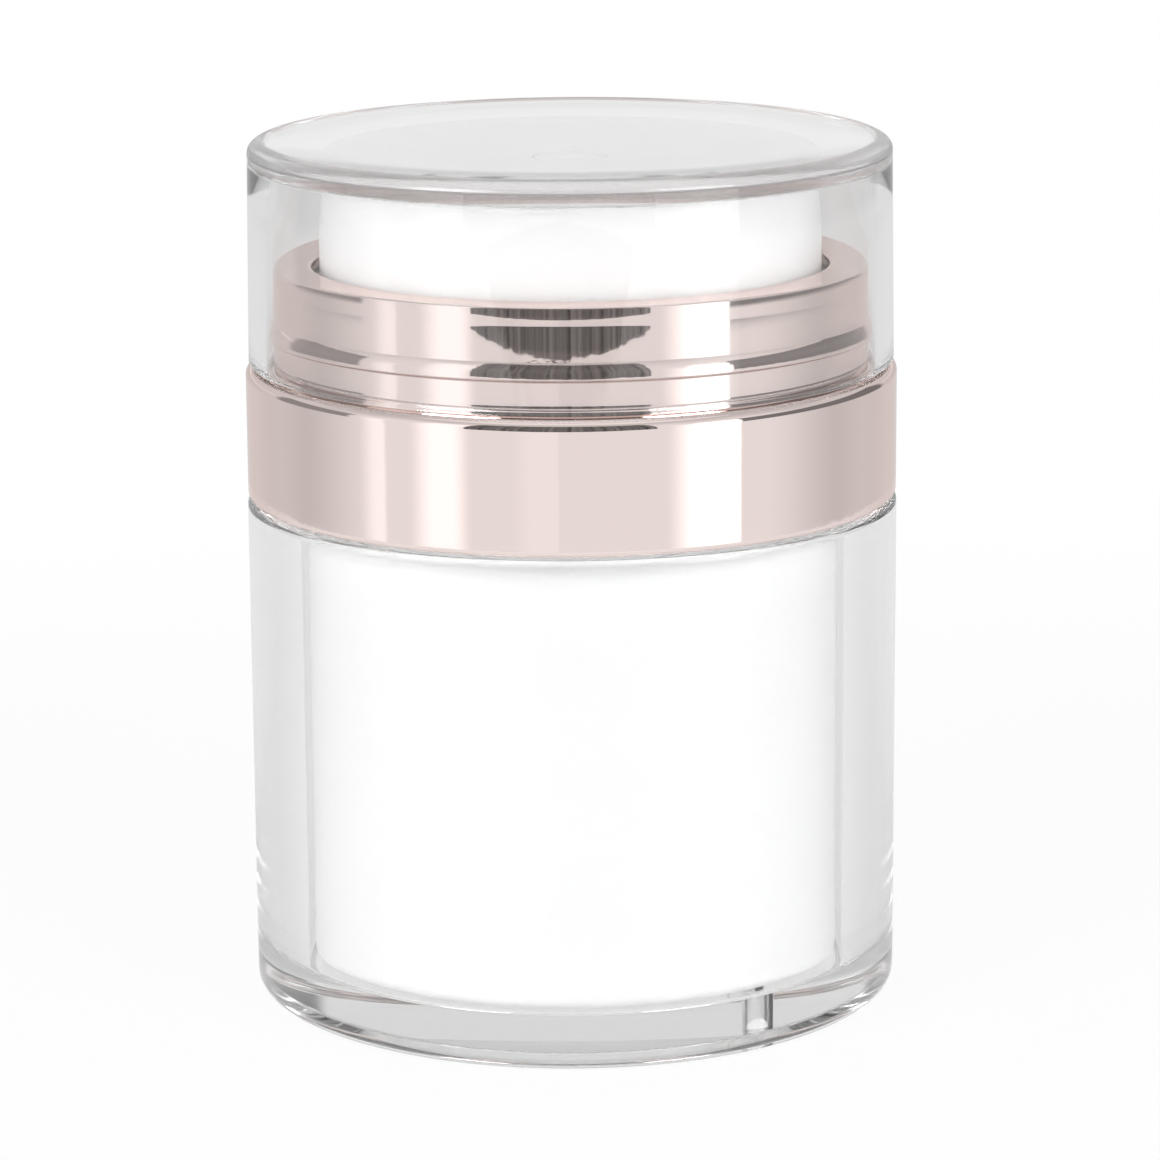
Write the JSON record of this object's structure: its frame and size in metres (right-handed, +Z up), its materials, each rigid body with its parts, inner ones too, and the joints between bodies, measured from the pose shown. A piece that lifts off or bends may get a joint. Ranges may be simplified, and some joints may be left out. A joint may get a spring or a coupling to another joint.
{
  "type": "airless pump jar",
  "caption": "Round airless cream jar: clear thick-walled jar with a white inner cup, plated stepped collar, white press-top pump and clear pull-off cap.",
  "frame": {"origin": "middle of the foot that the jar stands on", "axes": "+Z up along the jar's axis, front towards -Y, +X to the right seen from the front"},
  "size_m": [0.0616, 0.0616, 0.0816],
  "materials": {
    "clear_acrylic": "clear moulded acrylic, polished",
    "white_polypropylene": "moulded white polypropylene, soft gloss",
    "rose_gold_plate": "rose-gold electroplate over ABS, mirror gloss",
    "polyethylene": "natural polyethylene, satin",
    "silicone": "translucent silicone rubber, matt",
    "gasket_foam": "white foamed polyethylene gasket, matt",
    "spring_steel": "drawn stainless spring wire"
  },
  "bodies": {
    "jar": {"outer_jar": "clear_acrylic", "inner_cup": "white_polypropylene"},
    "follower": {"follower_piston": "polyethylene"},
    "seal": {"neck_gasket": "gasket_foam"},
    "pump_unit": {"collar": "rose_gold_plate", "neck_ring": "white_polypropylene", "pump_plate": "white_polypropylene", "housing_seal": "silicone", "pump_housing": "white_polypropylene", "housing_cap": "white_polypropylene", "return_spring": "spring_steel"},
    "valve": {"inlet_valve": "silicone"},
    "press_head": {"press_cover": "white_polypropylene", "head_core": "white_polypropylene", "outlet_valve": "silicone", "nozzle_insert": "white_polypropylene", "stem": "white_polypropylene", "piston_seat": "white_polypropylene"},
    "piston": {"pump_piston": "polyethylene"},
    "lid": {"cap": "clear_acrylic"}
  },
  "joints": [
    {"name": "follower_rise", "type": "slide", "parent": "jar", "child": "follower", "axis": [0, 0, 1], "range_m": [0, 0.0336]},
    {"name": "collar_lift", "type": "slide", "parent": "jar", "child": "seal", "axis": [0, 0, 1], "range_m": [0, 0.0045]},
    {"name": "collar_turn", "type": "hinge", "parent": "seal", "child": "pump_unit", "pos_m": [0, 0, 0.0552], "axis": [0, 0, 1], "range_deg": [0, 540]},
    {"name": "inlet_valve_lift", "type": "slide", "parent": "pump_unit", "child": "valve", "axis": [0, 0, 1], "range_m": [0, 0.0006]},
    {"name": "head_press", "type": "slide", "parent": "pump_unit", "child": "press_head", "axis": [0, 0, -1], "range_m": [0, 0.0045], "stiffness_N_per_m": 720, "springref_m": -0.006, "deforming": ["return_spring"]},
    {"name": "piston_slip", "type": "slide", "parent": "press_head", "child": "piston", "axis": [0, 0, 1], "range_m": [0, 0.0008]},
    {"name": "cap_lift", "type": "slide", "parent": "pump_unit", "child": "lid", "axis": [0, 0, 1], "range_m": [0, 0.03]}
  ],
  "couplings": [
    {"joint": "collar_turn", "follows": "collar_lift", "rad_per_m": 2094.4}
  ]
}
